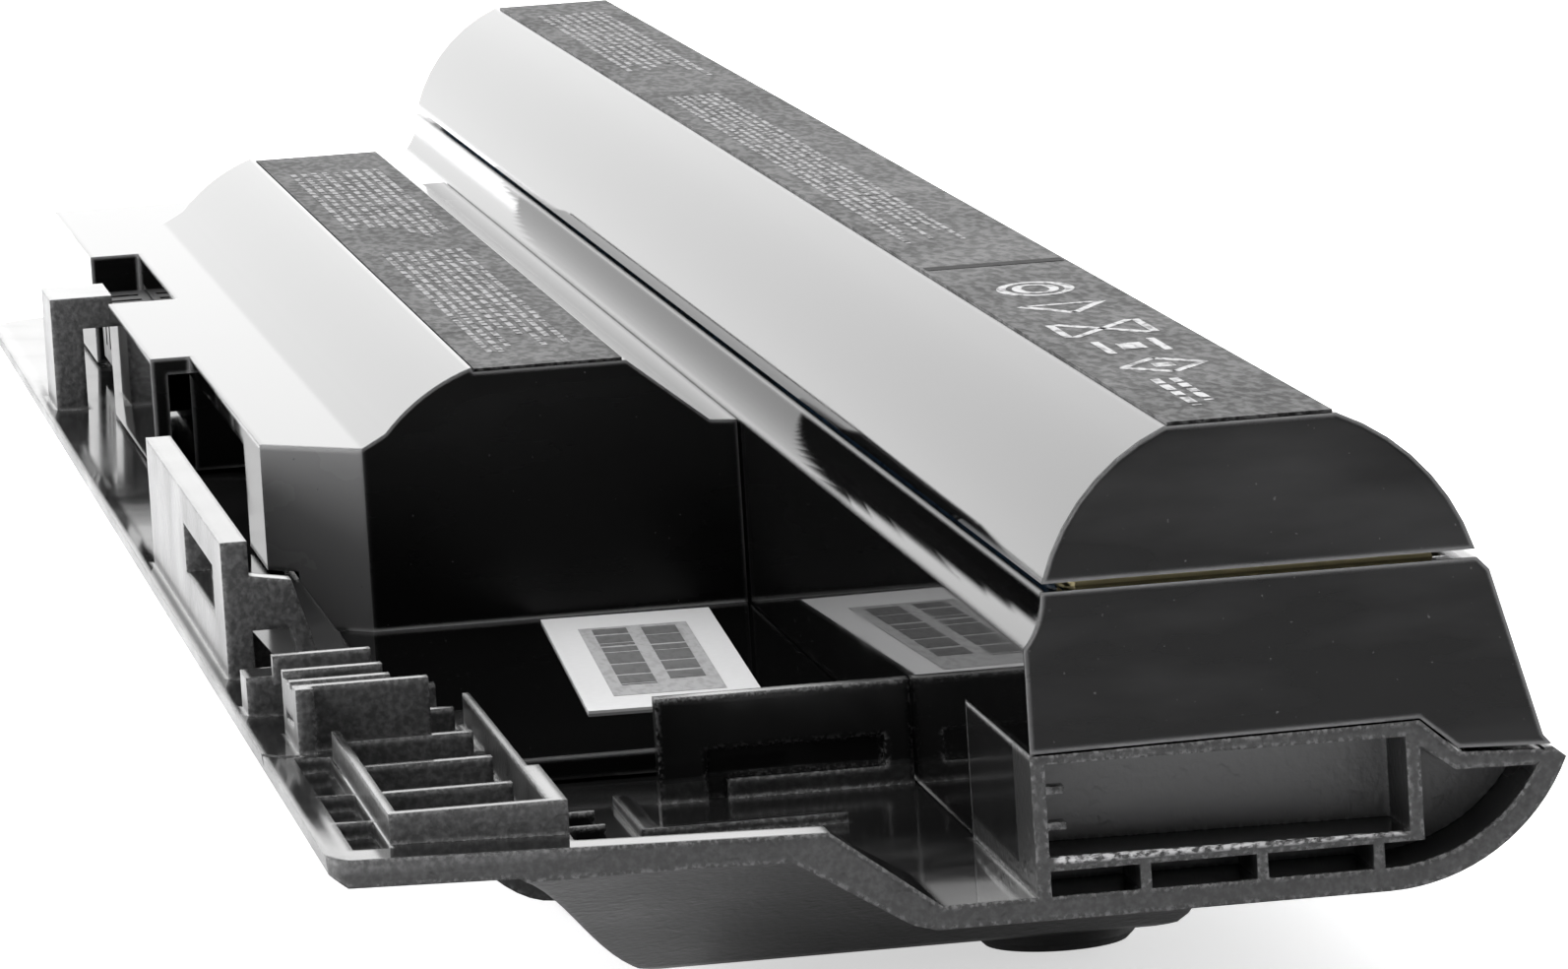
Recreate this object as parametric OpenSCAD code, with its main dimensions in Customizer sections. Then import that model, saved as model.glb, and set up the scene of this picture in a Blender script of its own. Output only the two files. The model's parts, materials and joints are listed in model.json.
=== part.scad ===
// Six-cell laptop battery with two rows of cells under two humps.
// X runs along the pack with the open end bay at +X, Y to the rear lip, Z up from the feet.

/* [Cells] */
// Diameter of one cell
cell_d = 18.4; // [17.8:0.1:18.8]
// Length of one cell
cell_len = 65; // [64:0.5:66]
// Radial play round a cell in its bore
cell_play = 0.1; // [0.05:0.01:0.15]
// Gap between two cells of a row, filled by the folded nickel tab
joint_gap = 0.6; // [0.5:0.1:1]
// Height of the rear row above the front row
row_rise = 6.7; // [6.4:0.1:7]

/* [Case] */
// Wall over a cell at the top of a hump
hump_wall = 1.4; // [1.2:0.1:1.6]
// Depth of the flat cut for a label below the crown of a hump
flat_cut = 0.8; // [0.6:0.1:0.9]
// Wall under the front row of cells
belly_wall = 1.3; // [1.2:0.1:1.8]
// Wall between the rear row and the open end bay
side_wall = 2; // [1.8:0.1:2.4]
// Space between the front row and that wall
row_gap = 2; // [1.8:0.1:2.4]
// Space in front of the front row, for the protection board
front_bay = 5.8; // [5.4:0.1:6.2]
// Width of the flange in front of the front hump
flange_w = 6.6; // [6.2:0.1:7.4]
// Distance from the rear row's bore to the tip of the rear lip
lip_reach = 4.8; // [4.6:0.1:5.2]
// Thickness of an end wall
end_wall = 1.4; // [1.2:0.1:1.8]
// Room for the insulator at the end of a row
end_play = 0.6; // [0.5:0.1:1]
// Length of the bay at the near end that the front hump leaves open
bay_len = 95; // [93:0.5:97]
// Length of the flat ledge over the board bay beyond the front row
ledge_len = 14; // [12:0.5:16]
// Size of the slanted front corner of the front hump
chamfer = 5.2; // [4:0.1:5.4]
// Length of the front hump without a step in its ledge
plain_len = 52; // [45:1:56]

/* [Base] */
// Height of the belly above the surface that the feet stand on
foot_drop = 0.9; // [0.6:0.1:1.4]
// Diameter of a foot
foot_d = 7.8; // [6:0.1:8]
// Depth of the socket for a foot
foot_socket = 0.5; // [0.4:0.1:0.7]
// Distance from the near end to the centre of the near foot
foot_inset = 25; // [24:0.5:32]
// Distance from the far end of the belly to the centre of the far foot
far_foot_inset = 27.6; // [27.6:0.2:60]
// Height of the floor plate above the underside of the belly
base_rise = 4.5; // [4.2:0.1:4.8]
// Thickness of the floor plate and of the rear lip
base_wall = 1.1; // [1:0.1:1.3]
// Length over which the belly slopes down from each end
belly_slope = 20.5; // [18:0.5:21]
// Height of the front edge of the flange above its underside
rim_h = 1.5; // [1.3:0.1:1.7]
// Radius of the far front corner of the flange
corner_r = 7; // [4:0.5:10]

/* [Near end] */
// Depth of the window in the near end
window_depth = 4.8; // [4:0.1:5.2]
// Thickness of the wall behind the window
window_back = 1.2; // [1:0.1:1.4]
// Thickness of the bars of the window frame
bar_t = 0.65; // [0.5:0.05:0.8]
// Length of the box that holds the window
window_box_len = 18.5; // [16:0.5:22]
// Number of short ribs under the window frame
window_ribs = 3; // [2:1:3]

/* [Latch rail] */
// Distance from the near end to the rib box
rail_inset = 4; // [3:0.5:5]
// Length of the rib box
rail_len = 27; // [22:0.5:28]
// Width of the rib box
rail_w = 8.4; // [7.8:0.1:8.6]
// Number of ribs across the box
rail_ribs = 3; // [2:1:4]
// Wall of the box
rail_wall = 0.9; // [0.7:0.05:1.1]
// Distance from the near end to the near face of the latch tower
tower_inset = 33; // [32:0.5:35]
// Length of the latch tower
tower_len = 17; // [14:0.5:19]
// Distance from the near end to the near end of the tall rail
tall_inset = 60; // [57:0.5:63]
// Length of the tall rail
tall_len = 48; // [40:1:66]
// Distance from the near end to the pocket wall
pocket_inset = 36; // [30:0.5:40]

/* [Connector] */
// Distance from the far end of the ledge to the connector port
port_inset = 33.4; // [30:0.1:36]
// Length of the connector port
port_len = 30; // [27:0.5:33]
// Number of contacts
contact_count = 7; // [5:1:8]
// Distance between two contacts
contact_pitch = 3; // [2.5:0.1:3.2]

/* [Labels] */
// Thickness of a label or sticker
label_t = 0.15; // [0.1:0.05:0.2]
// Length of the white sticker on the bay floor
sticker_len = 35; // [30:1:40]
// Width of the white sticker
sticker_w = 9.4; // [8:0.1:11]

/* [Hidden] */
$fn = 96;

rear_cells = 4;
front_cells = 2;
fit = 0.1;
bore_r = cell_d / 2 + cell_play;
hump_r = bore_r + hump_wall;

// Lengthwise places
near_fill = window_depth + window_back + end_play;
far_fill = end_wall + end_play;
rear_len = rear_cells * cell_len + (rear_cells - 1) * joint_gap;
front_len = front_cells * cell_len + (front_cells - 1) * joint_gap;
pack_len = rear_len + near_fill + far_fill;
near_x = pack_len / 2;
far_x = -pack_len / 2;
rear_row_x = near_x - near_fill;
hump_x = near_x - bay_len;
front_row_x = hump_x - end_wall - end_play;
board_x = front_row_x - front_len - end_play - end_wall;
front_end_x = board_x - ledge_len;
box_x = near_x - window_box_len;
recess_x = near_x - window_depth;
rail_x1 = near_x - rail_inset;
rail_x0 = rail_x1 - rail_len;
tower_x = near_x - tower_inset;
tall_x = near_x - tall_inset;
bay_step_x = near_x - 45;
port_x0 = front_end_x + port_inset;
port_x1 = port_x0 + port_len;

// Crosswise places, counted from the front edge of the flange to the rear lip
depth = flange_w + front_bay + 4 * bore_r + row_gap + side_wall + lip_reach;
front_y = -depth / 2;
wall_y = front_y + flange_w;
front_cell_y = wall_y + front_bay + bore_r;
column_y = front_cell_y + bore_r + row_gap;
rear_cell_y = column_y + side_wall + bore_r;
lip_y = depth / 2;
leg_y = column_y - 4.4;

// Heights
belly_z = foot_drop;
front_cell_z = belly_z + belly_wall + bore_r;
rear_cell_z = front_cell_z + row_rise;
ledge_z = rear_cell_z;
parting_z = rear_cell_z + 2.8;
groove = 0.4;
crown_z = rear_cell_z + hump_r - flat_cut;
hump_top_z = front_cell_z + hump_r - flat_cut + 0.6;
plate_z = belly_z + base_rise;
floor_z = plate_z + base_wall;
window_top_z = ledge_z - 4.95;
rim_z = plate_z + 5.8;
flange_z = rim_z - rim_h;
land_z = rim_z - 0.2;
bay_plate_t = 1.2;
bay_floor_z = floor_z + 0.2 + bay_plate_t;
lip_top_z = plate_z + 6.2;

// Rear lip
lip_r = 9.6;
lip_a = 24;
lip_cy = lip_y - lip_r * cos(lip_a);
lip_cz = plate_z + lip_r;
skirt_z = parting_z - 0.8;
draft = 15;

// Draws a Y-Z profile from x0 to x1
module along_x(x0, x1) {
    translate([x0, 0, 0])
        rotate([90, 0, 90])
            linear_extrude(x1 - x0)
                children();
}

// Draws an X-Z profile from y0 to y1
module along_y(y0, y1) {
    translate([0, y1, 0])
        rotate([90, 0, 0])
            linear_extrude(y1 - y0)
                children();
}

// A box given by its lowest and highest corners
module block(low, high) {
    translate(low) cube(high - low);
}

// Points on an arc from angle a0 to a1 in the given number of steps
function arc(cy, cz, r, a0, a1, steps) =
    [for (i = [0:steps]) let (a = a0 + (a1 - a0) * i / steps) [cy + r * cos(a), cz + r * sin(a)]];

// A round bore along a row of cells
module row_bore(y, z, x0, x1) {
    translate([x0, y, z])
        rotate([0, 90, 0])
            cylinder(h = x1 - x0, r = bore_r, $fn = 128);
}

// Outline of the rear hump: a circle with a flat for the label
module rear_hump_outline() {
    intersection() {
        translate([rear_cell_y, rear_cell_z]) circle(hump_r, $fn = 128);
        translate([column_y, parting_z + groove / 2])
            square([4 * bore_r, crown_z - parting_z - groove / 2]);
    }
}

// Glossy cover over the rear row
module rear_cover() {
    color([0.06, 0.06, 0.065])
        difference() {
            along_x(far_x, near_x) rear_hump_outline();
            row_bore(rear_cell_y, rear_cell_z, far_x + end_wall, near_x - end_wall);
        }
}

// Y of the rear side of the housing at height z
function skirt_y(z) = rear_cell_y + hump_r + 0.2 + (skirt_z - z) * tan(draft);

// Width of the hollow shoulder between the wall of the bay and the hump
shoulder_w = 0.95;

// Section of the lower housing of the rear row, down to the floor of the base
module housing_section() {
    in_r = lip_r - base_wall - fit;
    top = parting_z - groove / 2;
    rise = top - ledge_z;
    hollow_r = (shoulder_w * shoulder_w + rise * rise) / (2 * shoulder_w);
    polygon(concat(
        [[column_y, floor_z + fit]],
        arc(column_y + shoulder_w - hollow_r, top, hollow_r, -asin(rise / hollow_r), 0, 8),
        [[rear_cell_y + hump_r - 0.35, top],
         [rear_cell_y + hump_r + 0.2, skirt_z],
         [skirt_y(lip_top_z + 0.6), lip_top_z + 0.6],
         [skirt_y(lip_top_z) + 0.25, lip_top_z + fit]],
        arc(lip_cy, lip_cz, in_r, -lip_a, -90, 16)));
}

// What the window box takes out of the housing at the near end
module housing_cutaway() {
    step_y = window_right + 0.7;
    along_x(box_x - fit, near_x + 1)
        polygon([[column_y - 1, floor_z - 1], [column_y - 1, window_top_z], [step_y, window_top_z + 0.2],
                 [step_y + 1.8, lip_top_z + 0.3], [lip_y, lip_top_z + 0.1], [lip_y, floor_z - 1]]);
}

// Wires run in a flat channel under the rear row, each to the tail of its own tab
wire_d = 1;
wire_pitch = 1.2;
wire_count = rear_cells - 2;
wire_z = floor_z + 1;
channel_y = rear_cell_y - 4.6;
channel_z0 = wire_z - wire_d / 2 - fit;
channel_z1 = wire_z + wire_d / 2 + fit;
channel_w = wire_count * wire_pitch + 0.2;
tail_w = 0.9;
tab_t = 0.2;
tab_w = 8;
tab_h = 12;
strip_w = 3;
strip_y = channel_y + channel_w + 1;
strip_h = 1.2;
rear_far_x = rear_row_x - rear_len;
front_far_x = front_row_x - front_len;

function wire_y(k) = channel_y + 0.1 + wire_pitch * (k - 0.5);
function wire_turn_x(k) = board_x - 0.9 - (wire_d + 0.15) * k;
function rear_joint_x(k) = rear_row_x - k * cell_len - (k - 1) * joint_gap;
function tap_x(k) = rear_joint_x(k + 1) - joint_gap;

// Room for the wires, the tails of the tabs and the link strip
module wire_channel() {
    low = tab_bottom_z(rear_cell_z);
    block([far_x + end_wall, channel_y, channel_z0],
          [tap_x(1) + joint_gap, channel_y + channel_w, channel_z1]);
    for (k = [1:wire_count])
        block([tap_x(k) - fit, wire_y(k) - tail_w / 2 - fit, channel_z0],
              [tap_x(k) + joint_gap, wire_y(k) + tail_w / 2 + fit, low]);
    block([far_x + end_wall, wire_y(wire_count) - tail_w / 2 - fit, channel_z0],
          [rear_far_x + fit, wire_y(wire_count) + tail_w / 2 + fit, low]);
    block([front_row_x - fit, strip_y - fit, channel_z0],
          [rear_row_x + end_play, strip_y + strip_w + fit, channel_z0 + 3 * tab_t]);
    block([rear_row_x - fit, strip_y - fit, channel_z0],
          [rear_row_x + end_play, strip_y + strip_w + fit, low]);
    block([front_row_x - fit, column_y - 4 * row_gap, channel_z0],
          [front_row_x + tab_t + fit, strip_y + 1, channel_z0 + strip_h + 2 * fit]);
}

function tab_bottom_z(cell_z) = cell_z - tab_h / 2;

module cell_housing() {
    color([0.05, 0.05, 0.055])
        difference() {
            along_x(far_x, near_x) housing_section();
            row_bore(rear_cell_y, rear_cell_z, far_x + end_wall, rear_row_x + end_play);
            intersection() {
                row_bore(rear_cell_y, rear_cell_z, far_x + end_wall, near_x - end_wall);
                block([0, 0, window_top_z + base_wall], [near_x, lip_y, crown_z]);
            }
            housing_cutaway();
            wire_channel();
            wiring_window();
        }
}

// Opening between the rear row's housing and the board bay, for the wires
module wiring_window() {
    block([wire_turn_x(wire_count + 1) - 1, column_y - 3, channel_z0],
          [board_x - 0.5, channel_y + channel_w, channel_z1]);
}

hump_label_y0 = front_cell_y - 3.4;
hump_label_y1 = front_cell_y + 5;

// Section of the front hump between its ledges
module front_hump_outline() {
    shoulder_r = hump_r + 0.6;
    polygon(concat(
        [[wall_y, land_z + fit], [wall_y, ledge_z], [front_cell_y - hump_r + 0.85, ledge_z]],
        arc(front_cell_y, front_cell_z, shoulder_r, 139, 108, 10),
        [[hump_label_y0, hump_top_z], [hump_label_y1 + 0.2, hump_top_z],
         [column_y - 1.6, ledge_z + 0.1], [column_y - fit, ledge_z],
         [column_y - fit, floor_z + fit], [leg_y, floor_z + fit], [leg_y, land_z + fit]]));
}

// Section of the flat ledge over the board bay
module ledge_outline() {
    polygon([[wall_y, land_z + fit], [wall_y, ledge_z], [column_y - fit, ledge_z],
             [column_y - fit, floor_z + fit], [leg_y, floor_z + fit], [leg_y, land_z + fit]]);
}

step_x = hump_x - plain_len;
step_y0 = wall_y - 2.4;
far_wall_y = wall_y - 1.3;
port_back_y = wall_y + 1.9;
board_slot_y0 = wall_y + 3;
skin = 1;
ledge_t = 1.2;

// Parts of the ledge that reach forward past the front wall
module forward_ledges() {
    difference() {
        block([port_x1, step_y0, land_z + fit], [step_x, wall_y + skin, ledge_z]);
        block([port_x1 + skin, step_y0 + skin, land_z], [step_x + 1, wall_y + 2 * skin, ledge_z - skin]);
    }
    block([front_end_x, far_wall_y, land_z + fit], [port_x0, wall_y + skin, ledge_z]);
}

pocket_x0 = hump_x - end_wall;
pocket_y0 = front_y + 9.9;
shelf_y = front_y + 8.1;
corner_len = 12;
recess_inset = 16.4;
corner_y1 = wall_y + chamfer + 0.5;

// Glossy cover over the front row, with the end wall and the floor plate of the open bay
module front_cover() {
    color([0.05, 0.05, 0.055])
        difference() {
            union() {
                along_x(board_x, hump_x) front_hump_outline();
                along_x(front_end_x, board_x) ledge_outline();
                forward_ledges();
                block([pocket_x0, pocket_y0 + fit, bay_floor_z - bay_plate_t],
                      [bay_step_x - fit, column_y - fit, bay_floor_z]);
                block([pocket_x0, pocket_y0 + fit, bay_floor_z - bay_plate_t],
                      [hump_x, column_y - fit, ledge_z - 1]);
                block([hump_x - corner_len, shelf_y + fit, bay_floor_z], [hump_x, corner_y1, land_z + 1]);
            }
            row_bore(front_cell_y, front_cell_z, board_x + end_wall, hump_x - end_wall);
            board_bay();
            connector_port();
            corner_chamfer(bay_floor_z);
            near_recess();
            wire_channel();
            wiring_window();
            lead_hole();
        }
}

// Slanted front corner of the front hump's end wall, cut from height z0 up
module corner_chamfer(z0) {
    slant = 43;
    translate([hump_x, wall_y + chamfer, z0])
        rotate([0, 0, 180 + slant])
            translate([-chamfer, 0, 0])
                cube([4 * chamfer, 2 * chamfer, ledge_z]);
}

// Room for the protection board in front of the front row and beyond it
module board_bay() {
    roof_z = ledge_z - ledge_t;
    block([front_end_x + end_wall, far_wall_y + end_wall, land_z - 1], [port_x0 - skin, wall_y + 3, roof_z]);
    block([front_end_x + end_wall, port_back_y + 1, floor_z], [board_x, column_y - row_gap + fit, roof_z]);
    block([front_end_x + end_wall, board_slot_y0, land_z - 1], [port_x1 - skin, board_slot_y0 + 1.9, roof_z]);
}

connector_x0 = port_x0 + 3;
connector_x1 = port_x1 - 3;
connector_z0 = land_z + 0.9;
connector_z1 = connector_z0 + 4.2;

// Notch in the ledge, open to the front, with the opening that holds the connector
module connector_port() {
    block([port_x0, wall_y - 2 * skin, land_z], [port_x1, port_back_y, ledge_z + 1]);
    block([connector_x0 - fit, port_back_y - 1, connector_z0 - fit],
          [connector_x1 + fit, board_slot_y0 + 1, connector_z1 + fit]);
}

// Long recess in the front wall
module near_recess() {
    block([step_x - skin, wall_y - 1, land_z],
          [hump_x - recess_inset, wall_y + front_bay - 1.4, ledge_z - ledge_t]);
}

slant_y = column_y - 6;

// Closed section of the base without its belly
module base_section() {
    in_r = lip_r - base_wall;
    polygon(concat(
        [[front_y, rim_z], [front_y + 0.1, flange_z + 0.6], [front_y + 0.9, flange_z],
         [slant_y - 5.4, flange_z - 0.55], [slant_y, plate_z + 0.35], [slant_y + 1.2, plate_z]],
        arc(lip_cy, lip_cz, lip_r, -90, -lip_a, 16),
        [[lip_cy + 8.15, lip_top_z]],
        arc(lip_cy, lip_cz, in_r, -lip_a, -90, 16),
        [[slant_y + 1.5, floor_z], [slant_y - 3.6, land_z - 0.6], [front_y + 1, land_z]]));
}

belly_end_y = rear_cell_y - 1.2;

slope_w = 10.2;

// Point of the belly's front slope, a smooth fall from the flange as t goes from 0 to 1
function slope_point(y, t) =
    [y + slope_w * t, belly_z + (flange_z - belly_z) * (1 + cos(180 * pow(t, 0.85))) / 2];

// Section of the belly across the pack, its front slope starting at slope_y
module belly_section(slope_y) {
    steps = 16;
    polygon(concat(
        [for (i = [0:steps]) slope_point(slope_y, i / steps)],
        [[belly_end_y - 1.4, belly_z], [belly_end_y - 0.7, belly_z + 0.35],
         [belly_end_y - 0.2, belly_z + 1.4], [belly_end_y, plate_z], [belly_end_y, floor_z],
         [slant_y + 1.5, floor_z], [slant_y - 3.6, land_z - 0.6], [slope_y, land_z - 0.6]]));
}

// Outline of the belly seen from the front, sloping down from both ends
belly_top_z = flange_z - 0.4;
belly_knee = 0.86;
belly_knee_z = belly_z + 0.75;

module belly_side() {
    top = rim_z + 1;
    knee = belly_slope * belly_knee;
    polygon([[front_end_x, top], [front_end_x, belly_top_z], [front_end_x + knee, belly_knee_z],
             [front_end_x + belly_slope, belly_z + 0.12], [front_end_x + belly_slope + 3, belly_z],
             [near_x - belly_slope - 3, belly_z], [near_x - belly_slope, belly_z + 0.12],
             [near_x - knee, belly_knee_z], [near_x, belly_top_z], [near_x, top]]);
}

belly_wide_x = bay_step_x + 2;

// Belly under the front row, wider beyond the near end
module belly() {
    intersection() {
        union() {
            along_x(front_end_x, belly_wide_x) belly_section(front_y + 5);
            along_x(belly_wide_x, near_x) belly_section(front_y + 8.2);
        }
        along_y(front_y, lip_y) belly_side();
    }
}

window_left = column_y + bar_t;
window_right = rear_cell_y + 6.5;
frame_z = floor_z + 1.2;
frame_rib_t = 0.5;
top_bar_t = 0.5;

// Block at the near end that carries the window frame
module window_box() {
    along_x(box_x, near_x)
        polygon(concat(
            [[column_y, floor_z - 0.1], [column_y, window_top_z - fit],
             [window_right + 0.7, window_top_z + fit], [window_right + 2.5, lip_top_z + 0.2 - fit],
             [lip_cy + 7.6, lip_top_z - fit]],
            arc(lip_cy, lip_cz, lip_r - 0.2, -lip_a - 1, -90, 12)));
}

function window_rib_y(i) = window_left + 4.5 + 5.55 * i;

// The open cells of the window frame
module window_recesses() {
    half = frame_rib_t / 2;
    top = window_top_z - fit - top_bar_t;
    last = window_rib_y(window_ribs - 1) + half;
    along_x(recess_x, near_x + 1) {
        polygon([[window_left, frame_z + bar_t], [window_right, frame_z + bar_t - 0.2],
                 [window_right, top], [window_left, top + 0.1]]);
        polygon(concat(
            [[last, floor_z], [last, frame_z], [window_right + bar_t, frame_z],
             [window_right + bar_t, window_top_z - 1.1], [window_right + 2.3, lip_top_z - 0.7],
             [lip_cy + 7.3, lip_top_z - 0.8]],
            arc(lip_cy, lip_cz, lip_r - base_wall, -lip_a - 4, -90, 12)));
    }
    for (i = [0:window_ribs - 1])
        block([recess_x, i == 0 ? window_left : window_rib_y(i - 1) + half, floor_z],
              [near_x + 1, window_rib_y(i) - half, frame_z]);
}

// Small prongs on the left bar of the window frame
module window_prongs() {
    for (z = [frame_z + 1.9, frame_z + 3.6])
        block([near_x - 1.2, window_left - 0.1, z], [near_x - 0.2, window_left + 0.9, z + 0.35]);
}

end_rim = 2.2;
well_y = front_y + 13.6;
rail_y0 = front_y + 3.35;
rail_y1 = rail_y0 + rail_w;
rail_z = rim_z + 1.15;
rail_rib_z = rail_z - 0.35;
rail_rib_t = 0.8;
rail_pitch = 8.4;
rail_step = 1.6;
rail_side_t = 0.4;
trough_z = flange_z + 0.5;

// Open well of the bay, its floor rising over the slope of the belly towards the near end
module bay_well() {
    rise = (belly_top_z - belly_knee_z) / (belly_slope * belly_knee);
    cover = base_wall + 0.1;
    x_flat = near_x - (belly_top_z + cover - floor_z) / rise;
    x_end = near_x - end_rim;
    z_end = belly_top_z + cover - rise * end_rim;
    along_y(well_y, leg_y)
        polygon([[bay_step_x - fit, rim_z + 2], [bay_step_x - fit, floor_z], [x_flat, floor_z],
                 [x_end, z_end], [x_end, rim_z + 2]]);
    along_y(rail_y1, well_y + 1)
        polygon([[bay_step_x - fit, rim_z + 2], [bay_step_x - fit, bay_floor_z],
                 [near_x - (belly_top_z + cover - bay_floor_z) / rise, bay_floor_z], [x_end, z_end],
                 [x_end, rim_z + 2]]);
    block([bay_step_x - fit, leg_y - fit, floor_z], [x_end, column_y, rim_z + 2]);
    block([pocket_x0, pocket_y0, floor_z], [bay_step_x, column_y, rim_z + 2]);
    block([pocket_x0 + 3, pocket_y0 + 5.5, belly_z + belly_wall],
          [bay_step_x - 2, column_y - 3, rim_z + 2]);
}

// Shelf of the bay in front of its floor plate, reaching under the slanted corner of the hump
module bay_shelf() {
    block([hump_x - corner_len - fit, shelf_y, bay_floor_z], [belly_wide_x - 2, corner_y1 + fit, rim_z + 2]);
}

tower_y0 = front_y + 1.9;
tower_y1 = tower_y0 + 5;
tower_z = rim_z + 3;

// Near face of rib i of the rib box, counted from the near end
function rail_rib_x(i) = rail_x1 - rail_pitch * i;

// Box of ribs in the front corner of the near end, its right wall thin beyond the first rib
module rib_box() {
    thick_x = rail_rib_x(1) - 2.8;
    lip_x0 = rail_x0 - 9;
    difference() {
        block([rail_x0, rail_y0, land_z - 1], [rail_x1, rail_y1, rail_z]);
        block([rail_x0 - 1, rail_y0 + rail_side_t, land_z - 2],
              [rail_x1 - rail_wall, rail_y1 - rail_wall, rail_z + 1]);
        block([rail_x0 - 1, rail_y1 - rail_wall - 0.1, land_z], [thick_x, rail_y1 + 1, rail_z + 1]);
    }
    block([lip_x0, rail_y1 - rail_wall, land_z - 1], [thick_x + 0.1, rail_y1 - rail_wall + 0.35, rail_z]);
    for (i = [1:rail_ribs])
        block([rail_rib_x(i) - rail_rib_t, rail_y0 + rail_side_t - 0.1, trough_z - 0.1],
              [rail_rib_x(i), rail_y1 - rail_step, rail_rib_z]);
    block([rail_rib_x(rail_ribs + 1) - rail_rib_t, tower_y1 - 0.1, trough_z - 0.1],
          [rail_rib_x(rail_ribs + 1), rail_y1 - rail_step, rail_rib_z]);
    block([tower_x - tower_len + 3, shelf_y - 0.1, bay_floor_z - 0.1],
          [tower_x - tower_len + 3 + rail_rib_t, rail_y1 - rail_step, rail_rib_z]);
    for (d = [4.7, 8.9])
        block([rail_x1 - d, rail_y1 - 0.1, bay_floor_z - 0.1],
              [rail_x1 - d + rail_side_t, rail_y1 + 2.2, land_z - 0.7]);
}

// Troughs cut into the flange in and beside the rib box
module flange_troughs() {
    divider = 0.5;
    block([rail_x0, rail_y0 + rail_side_t, trough_z], [rail_x1 - rail_wall, rail_y1 - rail_wall, rim_z + 1]);
    block([bay_step_x + 1, tower_y1 + 0.2, trough_z], [rail_x0 + 1, rail_y1 - rail_step, rim_z + 1]);
    for (i = [0:2])
        block([i == 2 ? tower_x + 1.2 : rail_rib_x(i + 1) + 1 + divider, front_y + 1.5, trough_z],
              [rail_rib_x(i) + 1, rail_y0 - 0.1, rim_z + 1]);
}

// Upright wall across the well, with a shallow angled recess low down and a low fence before it
module pocket_wall() {
    x0 = near_x - pocket_inset;
    y0 = column_y - 12.95;
    top = floor_z + 5.3;
    recess = 0.7;
    fence_x = x0 + 9.3;
    fence_y = y0 - 2.3;
    fence_t = 0.9;
    fence_z = floor_z + 0.5;
    difference() {
        block([x0 - 1.2, y0, floor_z - 0.1], [x0, column_y - fit, top]);
        block([x0 - recess, y0 + 3.3, floor_z + 1], [x0 + 1, column_y - 1.5, floor_z + 2.6]);
        block([x0 - recess, y0 + 2.4, floor_z], [x0 + 1, y0 + 3.4, floor_z + 2.6]);
    }
    block([fence_x, fence_y, floor_z - 0.1], [fence_x + fence_t, column_y - 5, fence_z]);
    block([x0 - 1, fence_y, floor_z - 0.1], [fence_x + fence_t, fence_y + fence_t, fence_z]);
}

// Latch tower beyond the rib box: a core behind a broken front wall, with cross ribs on top
module latch_tower() {
    wall_t = 0.9;
    core_z = tower_z - 1.4;
    far_end = tower_x - tower_len;
    block([far_end, tower_y0 + 2 * wall_t, land_z - 1], [tower_x - wall_t, tower_y1, core_z]);
    block([tower_x - 2 * wall_t, tower_y0, land_z - 1], [tower_x - wall_t, tower_y1 + 1.7, tower_z]);
    block([tower_x - wall_t - 0.1, tower_y0, land_z - 1], [tower_x, tower_y0 + wall_t, tower_z]);
    difference() {
        block([tower_x - 7.6, tower_y0, land_z - 1], [tower_x - 0.1, tower_y0 + wall_t, tower_z - 0.3]);
        block([tower_x - 6, tower_y0 - 1, tower_z - 2.2], [tower_x - 2, tower_y0 + 0.3, tower_z - 1.8]);
    }
    block([far_end, tower_y0 - 1.3, land_z - 1], [far_end + 3.5, tower_y0 + 2 * wall_t + 0.1, tower_z - 1.2]);
    for (d = [3.8, 7.6, 13.2])
        block([tower_x - d, tower_y0, core_z - 0.1], [tower_x - d + wall_t, tower_y1, tower_z]);
}

tall_y0 = front_y + 0.8;
tall_t = 1.4;

// Tall rail along the front edge with its window and its bracket
module tall_rail() {
    x0 = tall_x - tall_len;
    difference() {
        block([x0, tall_y0, land_z - 1], [tall_x, tall_y0 + tall_t, ledge_z]);
        block([tall_x - 24, tall_y0 - 1, land_z + 2.6], [tall_x - 6, tall_y0 + tall_t + 1, ledge_z - 1.9]);
    }
    along_x(tall_x - 1.6, tall_x)
        difference() {
            polygon([[tall_y0, land_z - 1], [tall_y0, ledge_z - 1.6], [tall_y0 + 3.6, ledge_z - 2.2],
                     [tall_y0 + 4.7, land_z + 1.2], [tall_y0 + 4.7, land_z - 1]]);
            polygon([[tall_y0 + tall_t, land_z], [tall_y0 + tall_t, land_z + 2.5],
                     [tall_y0 + 3.4, land_z + 2.5], [tall_y0 + 3.9, land_z]]);
        }
    along_x(tall_x - 3.2, tall_x - 1.5)
        polygon([[tall_y0 + tall_t - 0.1, land_z - 0.5], [tall_y0 + tall_t - 0.1, land_z + 2.5],
                 [tall_y0 + 3.6, land_z - 0.5]]);
}

// Short post in front of the connector port, with a roof that reaches back to the ledge
module port_rail() {
    x0 = port_x1 - 13;
    x1 = port_x1 - 5;
    block([x0, tall_y0, land_z - 1], [x1, tall_y0 + 2, ledge_z]);
    block([x0, tall_y0, ledge_z - 2], [x1, step_y0 + 0.6, ledge_z]);
}

// Takes the far front corner off the flange in a round
module far_corner() {
    x = front_end_x + corner_r;
    y = front_y + corner_r;
    difference() {
        block([front_end_x - 1, front_y - 1, 0], [x, y, rim_z + 1]);
        translate([x, y, -1]) cylinder(h = rim_z + 3, r = corner_r);
    }
}

near_corner_r = 1.2;

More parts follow.
